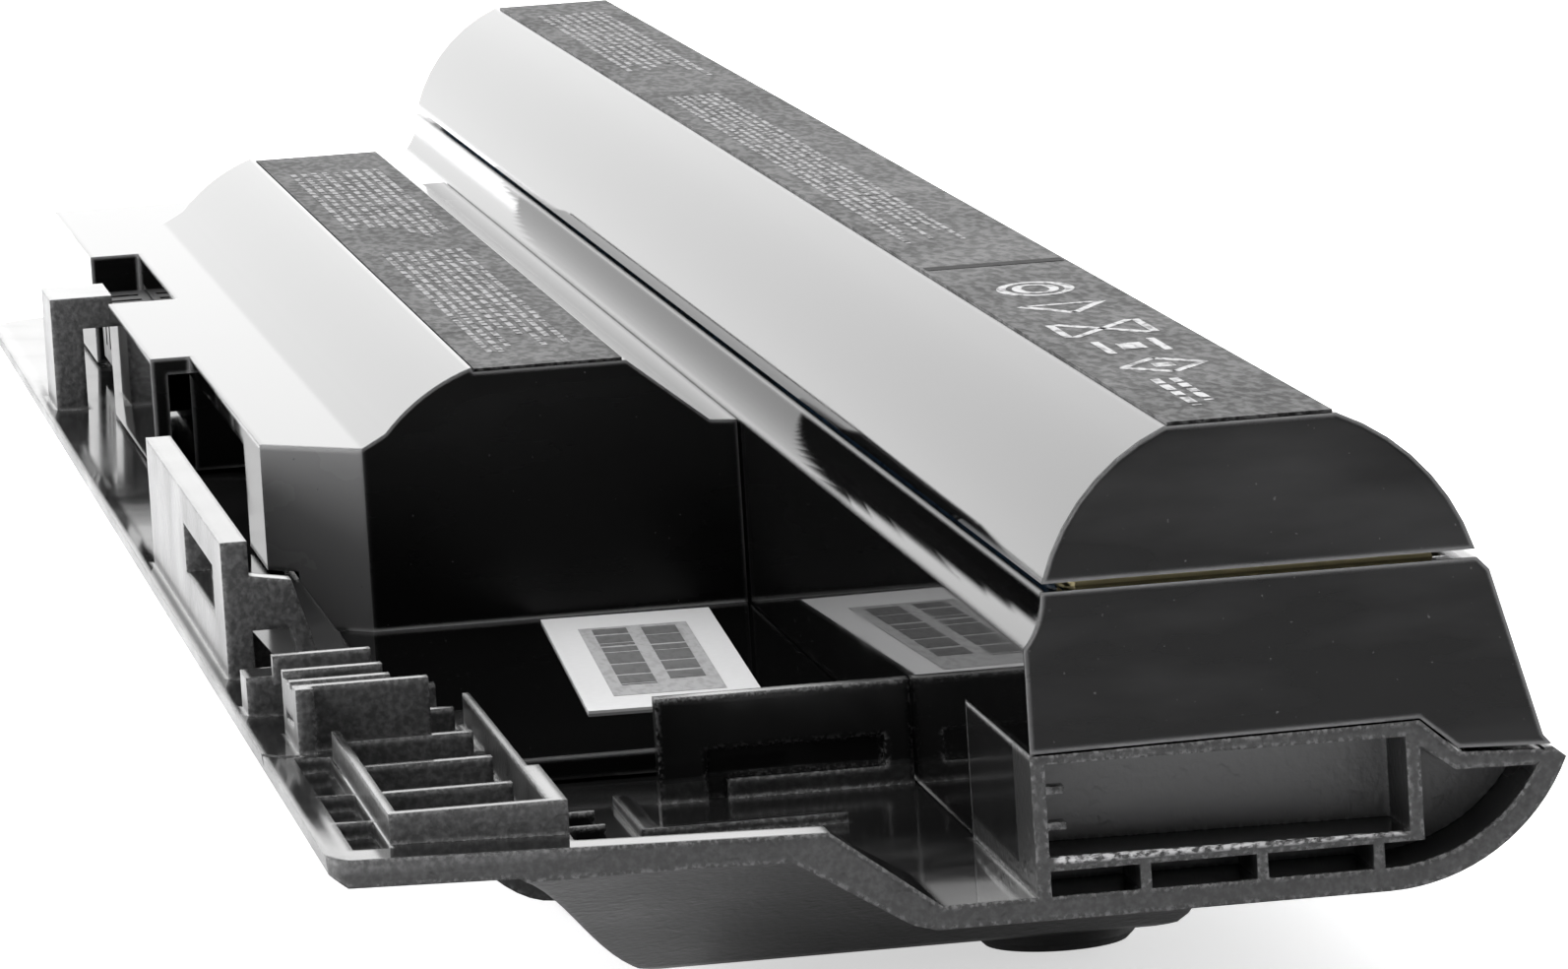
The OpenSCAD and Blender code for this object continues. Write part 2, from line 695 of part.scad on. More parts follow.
// Takes the near front corner off the flange in a round
module near_corner() {
    x = near_x - near_corner_r;
    y = front_y + near_corner_r;
    difference() {
        block([x, front_y - 1, 0], [near_x + 1, y, rim_z + 1]);
        translate([x, y, -1]) cylinder(h = rim_z + 3, r = near_corner_r);
    }
}

// Textured bottom cover with the flange, belly, rear lip and all that stands in the open bay
module base_cover() {
    color([0.16, 0.16, 0.165])
        difference() {
            union() {
                difference() {
                    union() {
                        along_x(far_x, near_x) base_section();
                        belly();
                        window_box();
                    }
                    block([far_x - 1, front_y - 1, 0], [front_end_x, column_y - fit, rim_z + 1]);
                    bay_well();
                    bay_shelf();
                    flange_troughs();
                    row_bore(front_cell_y, front_cell_z, board_x + end_wall, hump_x - end_wall);
                    row_bore(rear_cell_y, rear_cell_z, box_x - 1, rear_row_x + end_play);
                    window_recesses();
                    base_board_bay();
                    wire_channel();
                }
                rib_box();
                pocket_wall();
                latch_tower();
                tall_rail();
                port_rail();
                window_prongs();
            }
            foot_sockets();
            far_corner();
            near_corner();
            block([tower_x + 0.2, front_y - 1, rim_z - 0.5], [tower_x + 0.7, tower_y0, rim_z + 1]);
        }
}

// Floor of the board bay, let into the belly beyond the front row
module base_board_bay() {
    block([board_low_x0 - fit, board_slot_y0, floor_z], [board_x, leg_y, rim_z + 2]);
    block([front_end_x + end_wall, leg_y - fit, floor_z], [board_x, column_y + 1, rim_z + 2]);
}

foot_y = rear_cell_y - 6.5;
near_foot_x = near_x - foot_inset;
far_foot_x = front_end_x + far_foot_inset;

module foot_sockets() {
    for (x = [near_foot_x, far_foot_x])
        translate([x, foot_y, belly_z - 1])
            cylinder(h = 1 + foot_socket, d = foot_d + 2 * fit);
}

// Round rubber foot glued into its socket
module foot(x) {
    color([0.03, 0.03, 0.03])
        translate([x, foot_y, 0])
            rotate_extrude()
                polygon([[0, 0], [foot_d / 2 - 0.35, 0], [foot_d / 2, 0.35],
                         [foot_d / 2, belly_z + foot_socket], [0, belly_z + foot_socket]]);
}

// One cell lying along X, its crimped positive end at +X
module cell(x, y, z) {
    r = cell_d / 2;
    crimp = r - 0.45;
    color([0.20, 0.42, 0.58])
        translate([x, y, z])
            rotate([0, 90, 0])
                rotate_extrude()
                    polygon([[0, 0], [r - 0.6, 0], [r, 0.6], [r, cell_len - 4.2], [crimp, cell_len - 3.7],
                             [crimp, cell_len - 3.2], [r, cell_len - 2.7], [r, cell_len - 0.6],
                             [r - 0.6, cell_len], [0, cell_len]]);
}

module rear_cell(i) {
    cell(rear_joint_x(i), rear_cell_y, rear_cell_z);
}

module front_cell(i) {
    cell(front_row_x - i * cell_len - (i - 1) * joint_gap, front_cell_y, front_cell_z);
}

// Nickel tab folded between two cells, joined at its lower edge
module folded_tab(x, y, z) {
    low = tab_bottom_z(z);
    difference() {
        block([x, y - tab_w / 2, low], [x + joint_gap, y + tab_w / 2, low + tab_h]);
        block([x + tab_t, y - tab_w, low + tab_t], [x + joint_gap - tab_t, y + tab_w, low + 2 * tab_h]);
    }
}

// Flat nickel tab on the outer end of a row
module end_tab(x, y, z) {
    low = tab_bottom_z(z);
    block([x, y - tab_w / 2, low], [x + tab_t, y + tab_w / 2, low + tab_h]);
}

// Tail of a rear tab, reaching down into the wire channel
module tab_tail(x, k) {
    block([x, wire_y(k) - tail_w / 2, wire_z - wire_d / 2],
          [x + tab_t, wire_y(k) + tail_w / 2, tab_bottom_z(rear_cell_z) + tab_t]);
}

module rear_tabs() {
    color([0.78, 0.76, 0.70]) {
        for (k = [1:rear_cells - 1])
            folded_tab(rear_joint_x(k) - joint_gap, rear_cell_y, rear_cell_z);
        for (k = [1:wire_count])
            tab_tail(tap_x(k), k);
        end_tab(rear_row_x, rear_cell_y, rear_cell_z);
        end_tab(rear_far_x - tab_t, rear_cell_y, rear_cell_z);
        tab_tail(rear_far_x - tab_t, wire_count);
    }
}

module front_tabs() {
    color([0.78, 0.76, 0.70]) {
        for (i = [1:front_cells - 1])
            folded_tab(front_row_x - i * (cell_len + joint_gap), front_cell_y, front_cell_z);
        end_tab(front_row_x, front_cell_y, front_cell_z);
        end_tab(front_far_x - tab_t, front_cell_y, front_cell_z);
    }
}

// Nickel strip that joins the near end of the rear row to the near end of the front row
module link_strip() {
    z0 = wire_z - wire_d / 2;
    color([0.78, 0.76, 0.70]) {
        block([rear_row_x, strip_y, z0],
              [rear_row_x + tab_t, strip_y + strip_w, tab_bottom_z(rear_cell_z)]);
        block([front_row_x, strip_y, z0], [rear_row_x + tab_t, strip_y + strip_w, z0 + tab_t]);
        block([front_row_x, front_cell_y + tab_w / 2, z0],
              [front_row_x + tab_t, strip_y + fit, z0 + strip_h]);
    }
}

// Fibre disc between an end tab and the case
module end_disc(x, y, z, t) {
    translate([x, y, z])
        rotate([0, 90, 0])
            cylinder(h = t, r = cell_d / 2 - 0.3);
}

module near_insulator() {
    x = rear_row_x + tab_t;
    color([0.80, 0.74, 0.55])
        union() {
            end_disc(x, rear_cell_y, rear_cell_z, end_play - tab_t);
            intersection() {
                end_disc(x, rear_cell_y, rear_cell_z, near_x - end_wall - x);
                block([rear_row_x, 0, window_top_z + base_wall + fit], [near_x, lip_y, crown_z]);
            }
        }
}

module far_insulator() {
    color([0.80, 0.74, 0.55])
        end_disc(far_x + end_wall, rear_cell_y, rear_cell_z, end_play - tab_t);
}

module front_insulator() {
    color([0.80, 0.74, 0.55])
        end_disc(front_row_x + tab_t, front_cell_y, front_cell_z, end_play - tab_t);
}

lead_z = front_cell_z + 3;

// Hole for the lead from the far end of the front row into the board bay
module lead_hole() {
    translate([board_x - 1, front_cell_y, lead_z])
        rotate([0, 90, 0])
            cylinder(h = end_wall + 2, d = wire_d + 4 * fit);
}

module front_far_insulator() {
    color([0.80, 0.74, 0.55])
        difference() {
            end_disc(board_x + end_wall, front_cell_y, front_cell_z, end_play - tab_t);
            lead_hole();
        }
}

board_t = 0.8;
board_y0 = board_slot_y0 + 0.2;
board_y1 = board_y0 + board_t;
board_z0 = land_z - 0.15;
board_z1 = ledge_z - ledge_t - fit;
board_x0 = front_end_x + end_wall + 0.2;
board_x1 = port_x1 - 1.2;
board_low_x0 = wire_turn_x(wire_count + 1) - wire_d;
board_low_x1 = board_x - 0.4;
board_low_z = floor_z + fit;

// Protection board standing on edge behind the connector, deeper beyond the front row
module protection_board() {
    color([0.07, 0.32, 0.16])
        along_y(board_y0, board_y1)
            polygon([[board_x0, board_z0], [board_low_x0, board_z0], [board_low_x0, board_low_z],
                     [board_low_x1, board_low_z], [board_low_x1, board_z0], [board_x1, board_z0],
                     [board_x1, board_z1], [board_x0, board_z1]]);
}

chip_size = [6, 1.2, 4];
transistor_size = [5, 1.5, 4];
transistor_pitch = transistor_size[0] + 2;
transistor_count = 3;
shunt_size = [5, 0.9, 2.5];
shunt_x = board_x0 + 3 + transistor_count * transistor_pitch;

// Chip, transistors and shunt on the protection board
module board_parts() {
    color([0.08, 0.08, 0.08]) {
        translate([board_x0 + 1, board_y1, board_z0 + 1]) cube(chip_size);
        for (i = [0:transistor_count - 1])
            translate([board_x0 + 2 + transistor_pitch * i, board_y0 - transistor_size[1], board_z0 + 1])
                cube(transistor_size);
        translate([shunt_x, board_y0 - shunt_size[1], board_z0 + 1.5]) cube(shunt_size);
    }
}

contact_slot = 1;
contact_back_y = port_back_y - 0.6;
contact_z0 = connector_z0 + 1;

function contact_x(i) = (connector_x0 + connector_x1) / 2 + (i - (contact_count - 1) / 2) * contact_pitch;

// Connector with one slot for each contact, open to the top and the front
module connector_body() {
    color([0.10, 0.10, 0.11])
        difference() {
            block([connector_x0, wall_y - 1, connector_z0], [connector_x1, board_y0, connector_z1]);
            for (i = [0:contact_count - 1])
                block([contact_x(i) - contact_slot / 2, wall_y - 1.4, contact_z0],
                      [contact_x(i) + contact_slot / 2, contact_back_y, connector_z1 + 1]);
        }
}

module connector_blades() {
    blade_t = 0.3;
    color([0.85, 0.70, 0.35])
        for (i = [0:contact_count - 1])
            block([contact_x(i) - blade_t / 2, wall_y - 0.6, contact_z0],
                  [contact_x(i) + blade_t / 2, contact_back_y, connector_z1 - 0.5]);
}

fuse_x = board_x - 0.6;
fuse_size = [3, 7, 2.4];

// Thermal fuse between the front row's lead and the board
module thermal_fuse() {
    color([0.75, 0.75, 0.72])
        block([fuse_x - fuse_size[0], front_cell_y - fuse_size[1] / 2, lead_z - fuse_size[2] / 2],
              [fuse_x, front_cell_y + fuse_size[1] / 2, lead_z + fuse_size[2] / 2]);
}

// Wire along X at height wire_z from x to the turn, then along Y to the board
module bent_wire(x, y, turn_x) {
    from_x = min(x, turn_x);
    translate([from_x, y, wire_z])
        rotate([0, 90, 0])
            cylinder(h = abs(x - turn_x), d = wire_d, $fn = 24);
    translate([turn_x, y, wire_z]) sphere(d = wire_d, $fn = 24);
    translate([turn_x, board_y1, wire_z])
        rotate([-90, 0, 0])
            cylinder(h = y - board_y1, d = wire_d, $fn = 24);
}

module sense_wires() {
    color([0.65, 0.12, 0.10])
        for (k = [1:wire_count])
            bent_wire(tap_x(k), wire_y(k), wire_turn_x(k));
}

// Leads that carry the current from the far ends of both rows
module power_leads() {
    color([0.12, 0.12, 0.13]) {
        bent_wire(rear_far_x, wire_y(wire_count), wire_turn_x(wire_count + 1));
        translate([fuse_x, front_cell_y, lead_z])
            rotate([0, 90, 0])
                cylinder(h = front_far_x - tab_t - fuse_x, d = wire_d, $fn = 24);
        translate([fuse_x - fuse_size[0] / 2, board_y1, lead_z])
            rotate([-90, 0, 0])
                cylinder(h = front_cell_y - fuse_size[1] / 2 - board_y1, d = wire_d, $fn = 24);
    }
}

label_half = sqrt(hump_r * hump_r - pow(crown_z - rear_cell_z, 2)) - 0.15;

module rear_label() {
    color([0.11, 0.11, 0.12])
        block([far_x + 2, rear_cell_y - label_half, crown_z],
              [near_x - 0.3, rear_cell_y + label_half, crown_z + label_t]);
}

module front_label() {
    color([0.11, 0.11, 0.12])
        block([board_x + 1, hump_label_y0 + fit, hump_top_z],
              [hump_x - 0.3, hump_label_y1, hump_top_z + label_t]);
}

module bay_sticker() {
    skew = -2.8;
    color([0.85, 0.85, 0.84])
        translate([hump_x + 1.5, column_y - 2.6 - sticker_w, bay_floor_z])
            rotate([0, 0, skew])
                cube([sticker_len, sticker_w, label_t]);
}

base_cover();
cell_housing();
rear_cover();
front_cover();
rear_cell(1);  // rear_cell_1
rear_cell(2);  // rear_cell_2
rear_cell(3);  // rear_cell_3
rear_cell(4);  // rear_cell_4
front_cell(1);  // front_cell_1
front_cell(2);  // front_cell_2
rear_tabs();
front_tabs();
link_strip();
near_insulator();
far_insulator();
front_insulator();
front_far_insulator();
protection_board();
board_parts();
connector_body();
connector_blades();
thermal_fuse();
sense_wires();
power_leads();
rear_label();
front_label();
bay_sticker();
foot(near_foot_x);  // near_foot
foot(far_foot_x);  // far_foot
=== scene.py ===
import json
import math
import random

import bpy
from mathutils import Matrix, Vector

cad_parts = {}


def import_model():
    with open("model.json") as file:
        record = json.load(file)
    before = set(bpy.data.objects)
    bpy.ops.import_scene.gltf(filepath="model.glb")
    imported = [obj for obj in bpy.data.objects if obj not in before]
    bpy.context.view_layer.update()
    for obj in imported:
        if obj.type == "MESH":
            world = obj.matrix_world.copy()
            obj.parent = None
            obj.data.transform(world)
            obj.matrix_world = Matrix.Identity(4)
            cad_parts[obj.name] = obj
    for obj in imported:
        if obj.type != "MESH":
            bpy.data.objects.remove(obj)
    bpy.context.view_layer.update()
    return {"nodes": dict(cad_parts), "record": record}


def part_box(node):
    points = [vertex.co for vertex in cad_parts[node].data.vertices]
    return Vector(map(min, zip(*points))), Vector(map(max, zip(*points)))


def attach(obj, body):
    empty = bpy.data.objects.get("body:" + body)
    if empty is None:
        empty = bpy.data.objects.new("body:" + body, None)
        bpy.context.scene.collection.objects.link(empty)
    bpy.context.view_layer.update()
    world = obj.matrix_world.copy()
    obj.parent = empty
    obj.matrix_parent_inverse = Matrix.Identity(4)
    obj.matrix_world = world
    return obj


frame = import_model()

NODES = frame["nodes"]
MM = 0.001

# Camera, in degrees and metres: the photograph's view, fitted to straight edges and the round of the hump
PHOTO_W = 1593
FOCAL_PX = 10000
CAM_AZIMUTH = 7.82
CAM_ELEVATION = 7.42
CAM_ROLL = 3.57
CAM_PLACE = Vector((0.58127, -0.06818, 0.08545))
SENSOR = 36

# Places with a finish, a painted light or a painted shade of their own, as the start and end of each soft
# border in mm
NEAR_END_X = (100, 110)
WELL_FRONT_Y = (-17.0, -16.6)
WELL_BASE_Z = (7.4, 7.8)
WELL_END_X = (130.2, 130.0)
FLANGE_Y = (-16.6, -17.0)
FLANGE_TOP_Z = (10.2, 10.6)
WINDOW_BACK_X = ((130.2, 130.3), (130.7, 130.6))
FLASH_Z = ((7.95, 8.15), (8.6, 8.5))
FLASH_Y = ((4.6, 4.9), (21.6, 21.3))
FLASH_X = (134.8, 135.0)

# Part of a face's normal that lies along an axis, as the start and end of a change of finish, of painted
# light or of painted shade
FACES = (0.5, 0.7)
FACES_SLIGHTLY = (0.15, 0.5)
FACES_CORNER = (-0.45, -0.6)

# Grain of the label film, which also breaks up the ink on it
FILM_GRAIN_MM = 0.45
FILM_STRETCH = (0.3, 1.0, 1.0)

# Print, in mm
INK_T = 0.02
INK_LIFT = 0.005
BLOCK_LIFT = 0.03
LINE_W = 0.5
SEAM_X = 62
SEAM_W = 1.6
STICKER_W = 9.4
STICKER_TURN = math.radians(-2.8)

# Floor: half its width in metres, a soft border in mm, and its light to the camera and in reflections
FLOOR_HALF = 6.0
FLOOR_BORDER_X = (130, 0)
FLOOR_GLOW = 0.6
FLOOR_MIRRORED = 0.7

# Surround: levels of light, where 1 is white, and the X part of the heading where each starts and ends
SKY_FAR = 1.4
SKY_NEAR = 0.12
SKY_SLOPE_X = (-0.6, 0.7)
SKY_END = 0.45
SKY_END_X = (-0.8, -0.95)
SKY_ARCH = 5.0
SKY_ARCH_X = ((-0.08, 0.0), (0.32, 0.24))


# Node helpers

def material(name):
    """A new node material: (material, its node tree, its Principled shader)."""
    mat = bpy.data.materials.new(name)
    mat.use_nodes = True
    return mat, mat.node_tree, mat.node_tree.nodes["Principled BSDF"]


def grey(v):
    """A grey that is a hair blue."""
    return (v, v, v * 1.01)


def feed(tree, value, socket):
    """Links an output to a socket, or sets the number or colour on it."""
    if isinstance(value, bpy.types.NodeSocket):
        tree.links.new(value, socket)
    elif isinstance(value, tuple):
        socket.default_value = (*value, 1)
    else:
        socket.default_value = value


def object_coords(tree):
    return tree.nodes.new("ShaderNodeTexCoord").outputs["Object"]


def along(tree, vector, axis):
    """One component of a vector; axis is X, Y or Z."""
    split = tree.nodes.new("ShaderNodeSeparateXYZ")
    tree.links.new(vector, split.inputs["Vector"])
    return split.outputs[axis]


def noise(tree, coords, size_mm, detail=2.0, stretch=(1, 1, 1)):
    """Noise whose features are about size_mm across."""
    mapping = tree.nodes.new("ShaderNodeMapping")
    mapping.inputs["Scale"].default_value = stretch
    tree.links.new(coords, mapping.inputs["Vector"])
    tex = tree.nodes.new("ShaderNodeTexNoise")
    tex.inputs["Scale"].default_value = 1 / (size_mm * MM)
    tex.inputs["Detail"].default_value = detail
    tree.links.new(mapping.outputs["Vector"], tex.inputs["Vector"])
    return tex.outputs["Fac"]


def spread(tree, value, low, high, out_low=0.0, out_high=1.0):
    """Maps value from low..high to out_low..out_high, clamped."""
    node = tree.nodes.new("ShaderNodeMapRange")
    node.inputs["From Min"].default_value = low
    node.inputs["From Max"].default_value = high
    node.inputs["To Min"].default_value = out_low
    node.inputs["To Max"].default_value = out_high
    tree.links.new(value, node.inputs["Value"])
    return node.outputs["Result"]


def maths(tree, operation, a, b):
    """Result of a maths operation on a and b; b may be a number."""
    node = tree.nodes.new("ShaderNodeMath")
    node.operation = operation
    tree.links.new(a, node.inputs[0])
    feed(tree, b, node.inputs[1])
    return node.outputs[0]


def product(tree, first, *others):
    """Product of masks and levels."""
    for other in others:
        first = maths(tree, "MULTIPLY", first, other)
    return first


def mix(tree, kind, fac, a, b):
    """Goes from a to b as fac goes from 0 to 1; kind is FLOAT or RGBA."""
    node = tree.nodes.new("ShaderNodeMix")
    node.data_type = kind
    tree.links.new(fac, node.inputs["Factor"])
    feed(tree, a, node.inputs["A"])
    feed(tree, b, node.inputs["B"])
    return node.outputs["Result"]


def mix_values(tree, fac, a, b):
    return mix(tree, "FLOAT", fac, a, b)


def mix_colours(tree, fac, a, b):
    return mix(tree, "RGBA", fac, a, b)


def bump(tree, height, depth_mm, normal=None):
    """Normal with the height's bumps, depth_mm deep, on top of another normal if one is given."""
    node = tree.nodes.new("ShaderNodeBump")
    node.inputs["Strength"].default_value = 1.0
    node.inputs["Distance"].default_value = depth_mm * MM
    tree.links.new(height, node.inputs["Height"])
    if normal is not None:
        tree.links.new(normal, node.inputs["Normal"])
    return node.outputs["Normal"]


def rounded_edges(tree, radius_mm):
    """Normal that rounds the sharp edges of the solids."""
    node = tree.nodes.new("ShaderNodeBevel")
    node.samples = 4
    node.inputs["Radius"].default_value = radius_mm * MM
    return node.outputs["Normal"]


def near_edge(tree, normal, low, high):
    """1 on the edges that rounded_edges turns, 0 on the flats."""
    geometry = tree.nodes.new("ShaderNodeNewGeometry")
    dot = tree.nodes.new("ShaderNodeVectorMath")
    dot.operation = "DOT_PRODUCT"
    tree.links.new(normal, dot.inputs[0])
    tree.links.new(geometry.outputs["True Normal"], dot.inputs[1])
    return spread(tree, dot.outputs["Value"], low, high)


def facing(tree, axis, turn):
    """0 to 1 as the surface turns towards an axis, between the two turns given."""
    geometry = tree.nodes.new("ShaderNodeNewGeometry")
    return spread(tree, along(tree, geometry.outputs["True Normal"], axis), *turn)


def beyond(tree, coords, axis, border):
    """0 to 1 as the place along an axis crosses a soft border, given in mm."""
    return spread(tree, along(tree, coords, axis), border[0] * MM, border[1] * MM)


def between(tree, coords, axis, borders):
    """1 between two soft borders along an axis, given in mm."""
    return product(tree, beyond(tree, coords, axis, borders[0]), beyond(tree, coords, axis, borders[1]))


# Materials

def gloss_plastic():
    """Polished black plastic: soft sink waves, wiped smears, satin end faces, painted highlights on their
    edges, painted light on the corner faces and a little dust.
    """
    mat, tree, shader = material("polished_black")
    coords = object_coords(tree)
    end_face = facing(tree, "X", FACES)
    edge = rounded_edges(tree, radius_mm=0.45)
    wave = bump(tree, noise(tree, coords, 25, detail=1.0), depth_mm=0.005, normal=edge)
    ripple = bump(tree, noise(tree, coords, 6, detail=1.0), depth_mm=0.0004, normal=wave)
    tree.links.new(ripple, shader.inputs["Normal"])
    smear = noise(tree, coords, 10, detail=6.0, stretch=(1, 0.4, 1.5))
    polished = spread(tree, smear, 0.45, 0.7, out_low=0.02, out_high=0.06)
    satin = spread(tree, smear, 0.38, 0.66, out_low=0.2, out_high=0.4)
    tree.links.new(mix_values(tree, end_face, polished, satin), shader.inputs["Roughness"])
    handled = product(tree, end_face, beyond(tree, coords, "X", NEAR_END_X))
    haze = product(tree, handled, spread(tree, smear, 0.48, 0.66))
    shade = mix_colours(tree, haze, grey(0.002), grey(0.02))
    # Painted light: end faces turned towards -Y get a lighter colour in place of the bright floor they mirror
    corner = product(tree, end_face, facing(tree, "Y", FACES_CORNER))
    shade = mix_colours(tree, corner, shade, grey(0.15))
    # Painted highlight: a lighter line along the rounded edges of the end faces
    painted_highlight_edge = product(tree, end_face, near_edge(tree, edge, low=0.94, high=0.8))
    shade = mix_colours(tree, painted_highlight_edge, shade, grey(0.28))
    dust = spread(tree, noise(tree, coords, 0.3, detail=1.0), 0.77, 0.81)
    tree.links.new(mix_colours(tree, dust, shade, grey(0.07)), shader.inputs["Base Color"])
    shader.inputs["IOR"].default_value = 1.29
    return mat


def textured_plastic():
    """Dark moulded plastic: grained outside, smooth in the well, with torn flash on one bar of the window,
    painted shade on the sides and in the well, painted light on some ends and painted glints on the edges.
    """
    mat, tree, shader = material("textured_black")
    coords = object_coords(tree)
    to_near_end = facing(tree, "X", FACES)

    # The well is the bay floor with what stands on it, and faces that look up are as smooth
    well = product(tree, beyond(tree, coords, "Y", WELL_FRONT_Y), beyond(tree, coords, "Z", WELL_BASE_Z),
                   beyond(tree, coords, "X", WELL_END_X))
    well = maths(tree, "MAXIMUM", well, facing(tree, "Z", FACES))
    grained = spread(tree, well, 0.0, 1.0, out_low=1.0, out_high=0.0)

    edge = rounded_edges(tree, radius_mm=0.5)
    grain = bump(tree, product(tree, noise(tree, coords, 0.42), grained), depth_mm=0.04, normal=edge)
    pits = spread(tree, noise(tree, coords, 1.0, detail=1.0), 0.6, 0.7)
    pitted = bump(tree, product(tree, pits, grained), depth_mm=0.015, normal=grain)
    tree.links.new(pitted, shader.inputs["Normal"])

    # Colour: flecked grain, painted shade that darkens the sides, and painted light that makes the ends of
    # the latch parts and the back of the window paler
    fleck = spread(tree, noise(tree, coords, 0.3), 0.4, 0.7)
    flecked = mix_colours(tree, fleck, grey(0.024), grey(0.042))
    # Painted shade: faces turned away from the near end are darker than the flecked ones
    shade = mix_colours(tree, facing(tree, "X", FACES_SLIGHTLY), grey(0.012), flecked)
    # Painted light: the near ends of the latch parts are paler
    painted_light_latch_ends = product(tree, beyond(tree, coords, "Z", FLANGE_TOP_Z), beyond(tree, coords, "Y", FLANGE_Y),
                         to_near_end)
    shade = mix_colours(tree, painted_light_latch_ends, shade, mix_colours(tree, fleck, grey(0.05), grey(0.10)))
    # Painted light: the back wall of the window is paler
    painted_light_window_back = product(tree, between(tree, coords, "X", WINDOW_BACK_X), to_near_end)
    shade = mix_colours(tree, painted_light_window_back, shade, grey(0.11))
    rub = noise(tree, coords, 9, detail=4.0)
    # Painted shade: the well and the faces that look up are darker, with a random mottle
    shade = mix_colours(tree, well, shade, mix_colours(tree, rub, grey(0.003), grey(0.012)))

    # Painted glints on the moulded edges, and the flash
    glints = spread(tree, noise(tree, coords, 0.24), 0.48, 0.62)
    # Painted glints: light specks along the rounded edges
    painted_glint_edge = product(tree, near_edge(tree, edge, low=0.97, high=0.85), glints)
    shade = mix_colours(tree, painted_glint_edge, shade, grey(0.19))
    lower_bar = product(tree, between(tree, coords, "Z", FLASH_Z), between(tree, coords, "Y", FLASH_Y),
                        beyond(tree, coords, "X", FLASH_X))
    torn = spread(tree, noise(tree, coords, 0.26, detail=3.0, stretch=(1, 0.6, 1)), 0.43, 0.57)
    shade = mix_colours(tree, product(tree, lower_bar, torn), shade, grey(0.5))
    tree.links.new(shade, shader.inputs["Base Color"])

    rough = spread(tree, rub, 0.3, 0.7, out_low=0.28, out_high=0.4)
    smooth = spread(tree, rub, 0.35, 0.7, out_low=0.06, out_high=0.16)
    tree.links.new(mix_values(tree, well, rough, smooth), shader.inputs["Roughness"])
    shader.inputs["IOR"].default_value = 1.42
    return mat


def label_film():
    """Dark film with a leathery grain that glints."""
    mat, tree, shader = material("label_film")
    coords = object_coords(tree)
    wrinkle = noise(tree, coords, FILM_GRAIN_MM, stretch=FILM_STRETCH)
    tree.links.new(bump(tree, wrinkle, depth_mm=0.16), shader.inputs["Normal"])
    shade = mix_colours(tree, spread(tree, wrinkle, 0.42, 0.6), grey(0.006), grey(0.065))
    tree.links.new(shade, shader.inputs["Base Color"])
    rubbed = spread(tree, noise(tree, coords, 12), 0.3, 0.7, out_low=0.5, out_high=0.62)
    tree.links.new(rubbed, shader.inputs["Roughness"])
    shader.inputs["Specular IOR Level"].default_value = 0.25
    return mat


def print_ink(name, level, worn=0.4):
    """Ink broken by the grain of the film below it; worn is the share of its shade left in the pits."""
    mat, tree, shader = material(name)
    coords = object_coords(tree)
    grain = noise(tree, coords, FILM_GRAIN_MM, stretch=FILM_STRETCH)
    shade = mix_colours(tree, spread(tree, grain, 0.36, 0.54), grey(level * worn), grey(level))
    tree.links.new(shade, shader.inputs["Base Color"])
    tree.links.new(bump(tree, grain, depth_mm=0.05), shader.inputs["Normal"])
    shader.inputs["Roughness"].default_value = 0.7
    shader.inputs["Specular IOR Level"].default_value = 0.2
    return mat


def sticker_paper():
    """White paper with fine fibres."""
    mat, tree, shader = material("sticker_paper")
    coords = object_coords(tree)
    fibre = noise(tree, coords, 0.5, detail=4.0)
    tree.links.new(mix_colours(tree, fibre, grey(0.50), grey(0.56)), shader.inputs["Base Color"])
    tree.links.new(bump(tree, fibre, depth_mm=0.006), shader.inputs["Normal"])
    shader.inputs["Roughness"].default_value = 0.5
    shader.inputs["Specular IOR Level"].default_value = 0.25
    return mat


def rubber():
    """Matt black rubber."""
    mat, tree, shader = material("foot_rubber")
    coords = object_coords(tree)
    grain = noise(tree, coords, 0.4, detail=3.0)
    tree.links.new(mix_colours(tree, grain, grey(0.008), grey(0.02)), shader.inputs["Base Color"])
    edge = rounded_edges(tree, radius_mm=0.2)
    tree.links.new(bump(tree, grain, depth_mm=0.03, normal=edge), shader.inputs["Normal"])
    shader.inputs["Roughness"].default_value = 0.6
    return mat


def plain(name, colour, rough, metallic=0.0, size_mm=1.5, depth_mm=0.01):
    """Finish of an inner piece: its colour with a slight mottle and grain."""
    mat, tree, shader = material(name)
    coords = object_coords(tree)
    grain = noise(tree, coords, size_mm, detail=3.0)
    darker = tuple(0.75 * c for c in colour)
    tree.links.new(mix_colours(tree, grain, darker, colour), shader.inputs["Base Color"])
    rubbed = spread(tree, grain, 0.3, 0.7, out_low=rough * 0.8, out_high=rough * 1.1)
    tree.links.new(rubbed, shader.inputs["Roughness"])
    tree.links.new(bump(tree, grain, depth_mm), shader.inputs["Normal"])
    shader.inputs["Metallic"].default_value = metallic
    return mat


